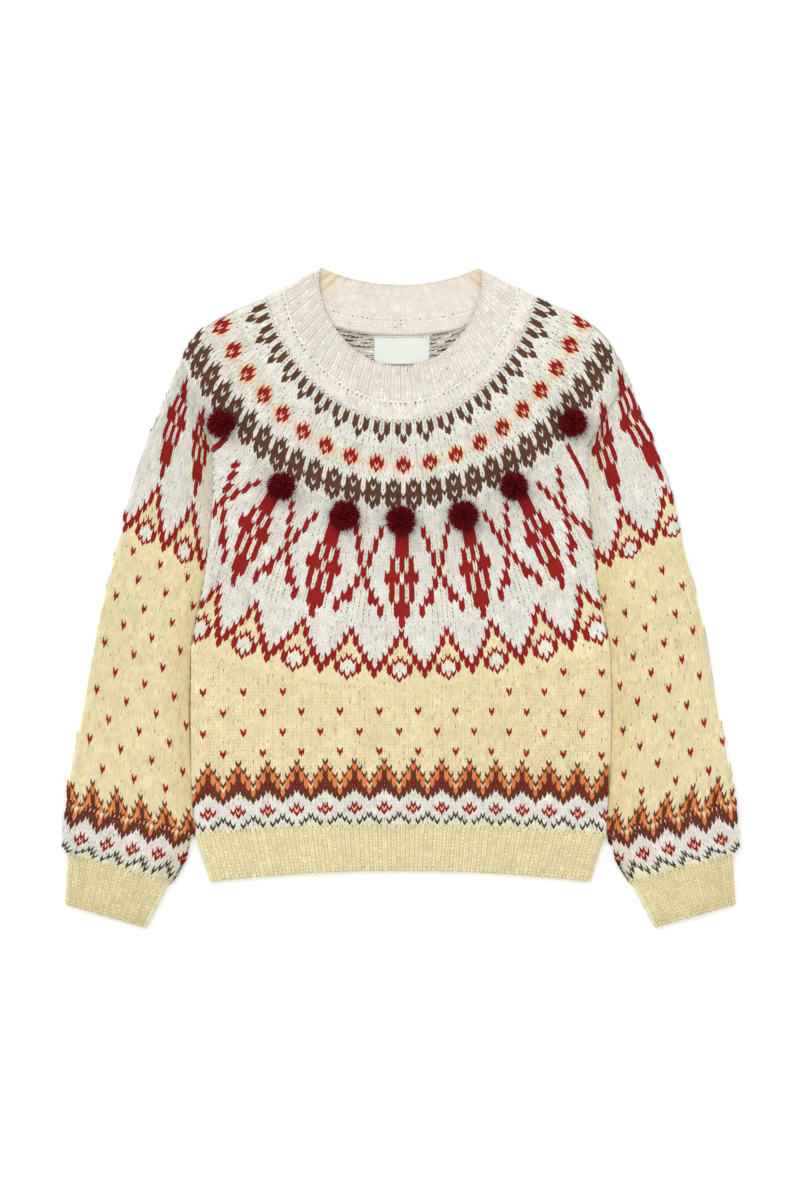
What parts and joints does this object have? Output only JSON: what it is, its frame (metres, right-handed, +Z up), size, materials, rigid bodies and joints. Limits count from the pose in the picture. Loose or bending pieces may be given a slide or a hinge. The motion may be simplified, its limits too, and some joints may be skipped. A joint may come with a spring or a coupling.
{
  "type": "knit jumper laid flat",
  "caption": "Child's round-yoke stranded knit jumper laid flat, with a ribbed crew neck, ribbed hem and cuffs, patterned yoke and bands, and fur pompoms on the yoke.",
  "frame": {"origin": "centre of the bounding box's bottom face, on the surface that the jumper lies on", "axes": "+Z up from the surface, +Y from the hem towards the neck, +X to the right of someone who looks down at the front"},
  "size_m": [0.6098, 0.593, 0.0301],
  "materials": {
    "white_knit": "soft matt stockinette knit",
    "cream_rib": "soft matt rib knit",
    "yellow_knit": "soft matt stockinette knit",
    "yellow_rib": "soft matt rib knit",
    "red_fur": "dense soft fur",
    "woven_label": "smooth woven tape"
  },
  "bodies": {
    "root": {"neckband": "cream_rib", "yoke_front": "white_knit", "yoke_back": "white_knit", "body_front": "yellow_knit", "body_back": "yellow_knit", "sleeve_left": "yellow_knit", "sleeve_right": "yellow_knit", "hem_rib": "yellow_rib", "cuff_left": "yellow_rib", "cuff_right": "yellow_rib", "neck_label": "woven_label", "pompom_1": "red_fur", "pompom_2": "red_fur", "pompom_3": "red_fur", "pompom_4": "red_fur", "pompom_5": "red_fur", "pompom_6": "red_fur", "pompom_7": "red_fur"}
  },
  "joints": []
}
